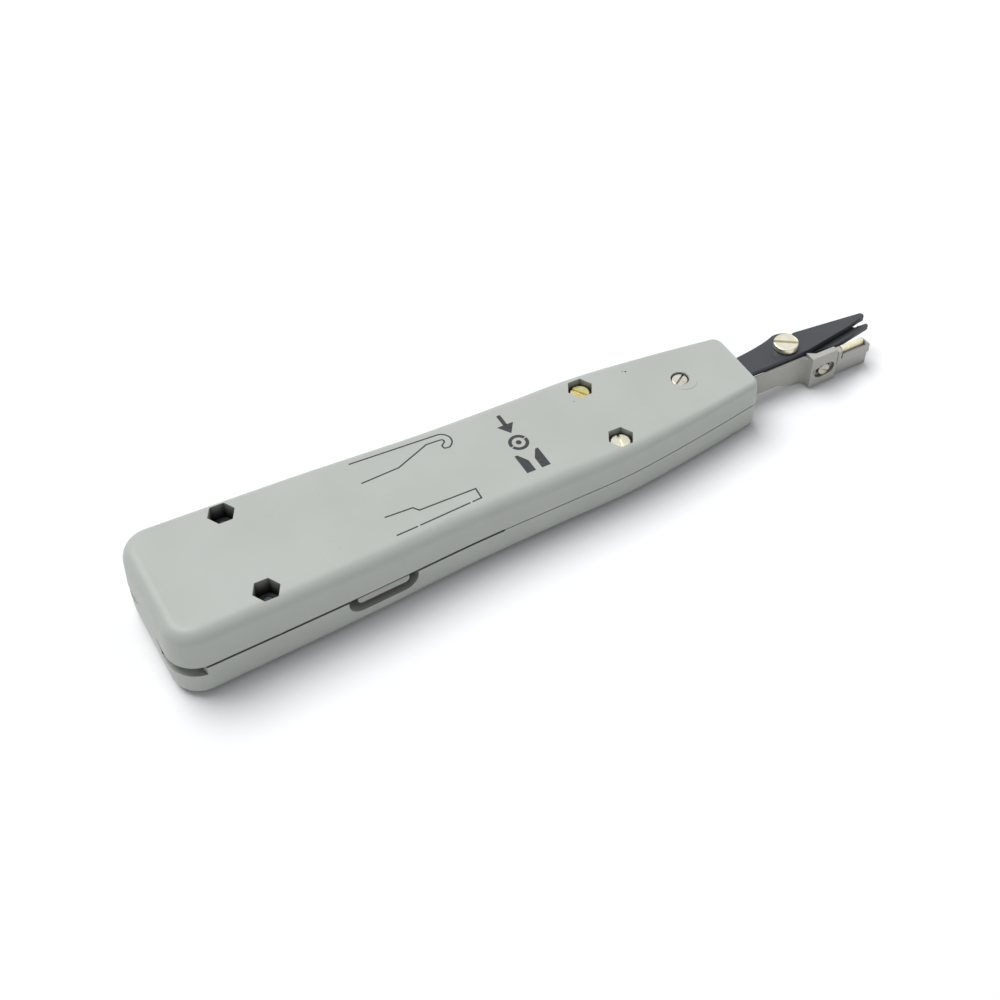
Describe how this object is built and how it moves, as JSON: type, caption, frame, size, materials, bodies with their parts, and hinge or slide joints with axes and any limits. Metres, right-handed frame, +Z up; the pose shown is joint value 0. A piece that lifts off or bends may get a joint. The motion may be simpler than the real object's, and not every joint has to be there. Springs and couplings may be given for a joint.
{
  "type": "punch down tool",
  "caption": "Hand insertion tool for insulation-displacement telecom blocks: tapered two-part casing, sliding scissor tip, spring wire sensor, fold-out hook and knife.",
  "frame": {"origin": "middle of the flat back that the tool lies on, at the bottom of its bounding box", "axes": "+X along the tool towards the working tip, +Z up out of the casing's top face, -Y the side with the knife and the wire sensor"},
  "size_m": [0.181, 0.0338, 0.0195],
  "materials": {
    "casing": "fine satin moulded plastic, warm light grey",
    "sensor_plastic": "satin moulded plastic, cream grey",
    "blackened_steel": "black oxide on ground steel",
    "nickel": "yellowish nickel plate",
    "brass": "turned brass",
    "steel": "ground steel"
  },
  "bodies": {
    "casing": {"upper_casing": "casing", "lower_casing": "casing", "casing_screw_far": "brass", "casing_nut_far": "nickel", "casing_screw_near": "nickel", "casing_nut_near": "nickel", "front_screw": "nickel", "front_nut": "nickel", "front_spacer": "steel", "hook_pivot_screw": "blackened_steel", "hook_pivot_nut": "blackened_steel", "hook_pivot_bush": "brass", "hook_spring_washer": "steel", "knife_pivot_screw": "blackened_steel", "knife_pivot_nut": "blackened_steel", "knife_pivot_bush": "brass", "knife_spring_washer": "steel", "spring_seat": "steel", "scissor_cam_pin": "steel"},
    "head": {"ram_plate": "blackened_steel", "ram_carriage": "steel", "ram_rivet_1": "steel", "ram_rivet_2": "steel", "guide_rod": "steel", "main_spring": "steel", "scissor_pivot_screw": "nickel", "scissor_pivot_nut": "blackened_steel"},
    "scissor": {"scissor_blade": "blackened_steel"},
    "sensor": {"sensor_arm": "sensor_plastic", "sensor_shoe": "sensor_plastic", "sensor_strip": "brass", "sensor_screw": "nickel", "sensor_spring": "steel"},
    "knife": {"knife_blade": "steel", "knife_tab": "casing"},
    "hook": {"release_hook": "steel", "hook_tab": "casing"}
  },
  "joints": [
    {"name": "head_slide", "type": "slide", "parent": "casing", "child": "head", "axis": [-0.9998, 0, 0.0192], "range_m": [0, 0.007], "stiffness_N_per_m": 1500, "springref_m": -0.004, "deforming": ["main_spring"]},
    {"name": "scissor_close", "type": "hinge", "parent": "head", "child": "scissor", "pos_m": [0.068, 0.0009, 0.00724], "axis": [0.0192, 0, 0.9998], "range_deg": [0, 8.1]},
    {"name": "sensor_slide", "type": "slide", "parent": "casing", "child": "sensor", "axis": [-0.9998, 0, 0.0192], "range_m": [0, 0.005], "stiffness_N_per_m": 150, "springref_m": -0.003, "deforming": ["sensor_spring"]},
    {"name": "knife_fold", "type": "hinge", "parent": "casing", "child": "knife", "pos_m": [-0.06799, -0.0117, 0.00936], "axis": [-0.0192, 0, -0.9998], "range_deg": [0, 180]},
    {"name": "hook_fold", "type": "hinge", "parent": "casing", "child": "hook", "pos_m": [-0.06799, 0.0117, 0.00936], "axis": [0.0192, 0, 0.9998], "range_deg": [0, 180]}
  ],
  "couplings": [
    {"joint": "scissor_close", "follows": "head_slide", "rad_per_m": 20}
  ]
}
